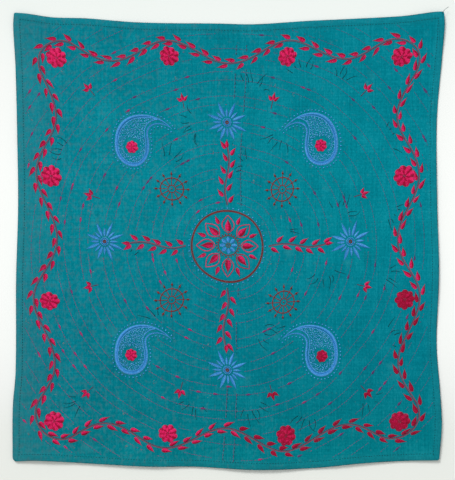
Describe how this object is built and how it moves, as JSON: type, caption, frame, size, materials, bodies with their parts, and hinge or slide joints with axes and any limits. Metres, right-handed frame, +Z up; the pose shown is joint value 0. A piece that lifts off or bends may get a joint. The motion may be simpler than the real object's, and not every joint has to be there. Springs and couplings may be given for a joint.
{
  "type": "kantha embroidered cloth",
  "caption": "Nearly square cotton cloth with a turned hem, embroidered with running stitch and satin stitch, lying flat to cover, wrap or decorate a surface.",
  "frame": {"origin": "on the surface that the cloth lies on, under the middle of its bounding box", "axes": "+Z up out of the embroidered face, +Y towards the cloth's top edge, +X towards its right edge"},
  "size_m": [0.9064, 0.961, 0.0073],
  "materials": {
    "teal_cotton": "matt hand-woven cotton, slubbed along its length",
    "crimson_thread": "stranded cotton embroidery thread with a soft sheen",
    "blue_thread": "stranded cotton embroidery thread with a soft sheen",
    "rust_thread": "stranded cotton embroidery thread with a soft sheen",
    "pink_thread": "single-strand cotton running stitch, faded",
    "hem_thread": "dark sewing cotton"
  },
  "bodies": {
    "root": {"kantha_cloth": "teal_cotton"}
  },
  "joints": []
}
